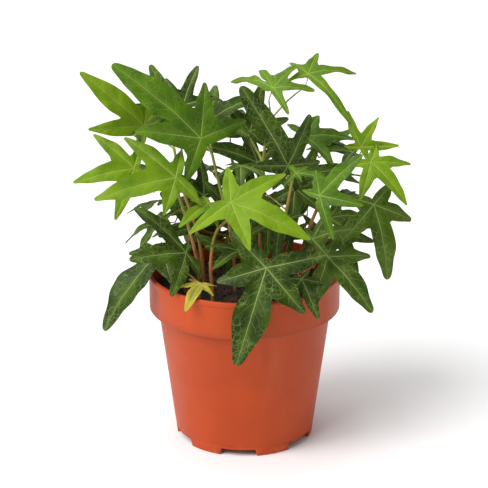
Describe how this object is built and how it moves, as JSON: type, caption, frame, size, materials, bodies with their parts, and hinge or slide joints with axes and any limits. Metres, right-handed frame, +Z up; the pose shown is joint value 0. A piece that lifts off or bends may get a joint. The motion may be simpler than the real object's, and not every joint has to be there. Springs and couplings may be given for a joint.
{
  "type": "potted ivy",
  "caption": "Young English ivy with pointed five-lobed leaves on thin stems, growing in a tapered round nursery pot with a deep collar.",
  "frame": {"origin": "middle of the pot's foot, on the surface it stands on", "axes": "+Z up along the pot's axis, -Y towards the side that the plant shows best"},
  "size_m": [0.1811, 0.126, 0.2105],
  "materials": {
    "pot_plastic": "moulded terracotta-coloured plastic, faintly satin",
    "potting_soil": "moist dark crumbly potting mix",
    "stem": "slender fresh stems and petioles, green above and tan-brown near the soil",
    "mature_leaf": "leathery dark green leaf with pale veins, satin",
    "mid_leaf": "mid-green leaf with pale veins, satin",
    "young_leaf": "fresh yellow-green leaf, soft satin",
    "yellowing_leaf": "old leaf turning yellow, matte"
  },
  "bodies": {
    "root": {"pot": "pot_plastic", "soil": "potting_soil", "vine_front_left": "stem", "leaf_front_left_1": "young_leaf", "leaf_front_left_2": "young_leaf", "vine_front": "stem", "leaf_front_1": "young_leaf", "leaf_front_2": "mature_leaf", "vine_left": "stem", "leaf_left_1": "young_leaf", "leaf_left_2": "young_leaf", "leaf_left_3": "mature_leaf", "vine_centre_left": "stem", "leaf_centre_left_1": "mid_leaf", "leaf_centre_left_2": "mature_leaf", "leaf_centre_left_3": "mature_leaf", "leaf_centre_left_4": "mature_leaf", "vine_centre_tall": "stem", "leaf_centre_tall_1": "mid_leaf", "leaf_centre_tall_2": "young_leaf", "leaf_centre_tall_3": "mid_leaf", "vine_centre_right": "stem", "leaf_centre_right_1": "mature_leaf", "leaf_centre_right_2": "mid_leaf", "leaf_centre_right_3": "mature_leaf", "leaf_centre_right_4": "mature_leaf", "vine_right": "stem", "leaf_right_1": "young_leaf", "leaf_right_2": "young_leaf", "leaf_right_3": "mature_leaf", "leaf_right_4": "mature_leaf", "leaf_right_5": "mid_leaf", "leaf_right_6": "mature_leaf", "vine_front_right": "stem", "leaf_front_right_1": "mature_leaf", "leaf_front_right_2": "mature_leaf", "leaf_front_right_3": "mature_leaf", "leaf_front_right_4": "mature_leaf", "leaf_front_right_5": "mature_leaf", "vine_front_low": "stem", "leaf_front_low_1": "mature_leaf", "leaf_front_low_2": "mature_leaf", "leaf_front_low_3": "yellowing_leaf", "vine_back": "stem", "leaf_back_1": "mature_leaf", "leaf_back_2": "mature_leaf", "leaf_back_3": "mature_leaf", "leaf_back_4": "mature_leaf", "leaf_back_5": "mature_leaf", "vine_back_right": "stem", "leaf_back_right_1": "mid_leaf", "leaf_back_right_2": "mature_leaf", "leaf_back_right_3": "mature_leaf", "leaf_back_right_4": "mature_leaf", "leaf_back_right_5": "mature_leaf", "vine_back_left": "stem", "leaf_back_left_1": "mature_leaf", "leaf_back_left_2": "mature_leaf", "leaf_back_left_3": "mature_leaf", "leaf_back_left_4": "mature_leaf"}
  },
  "joints": []
}
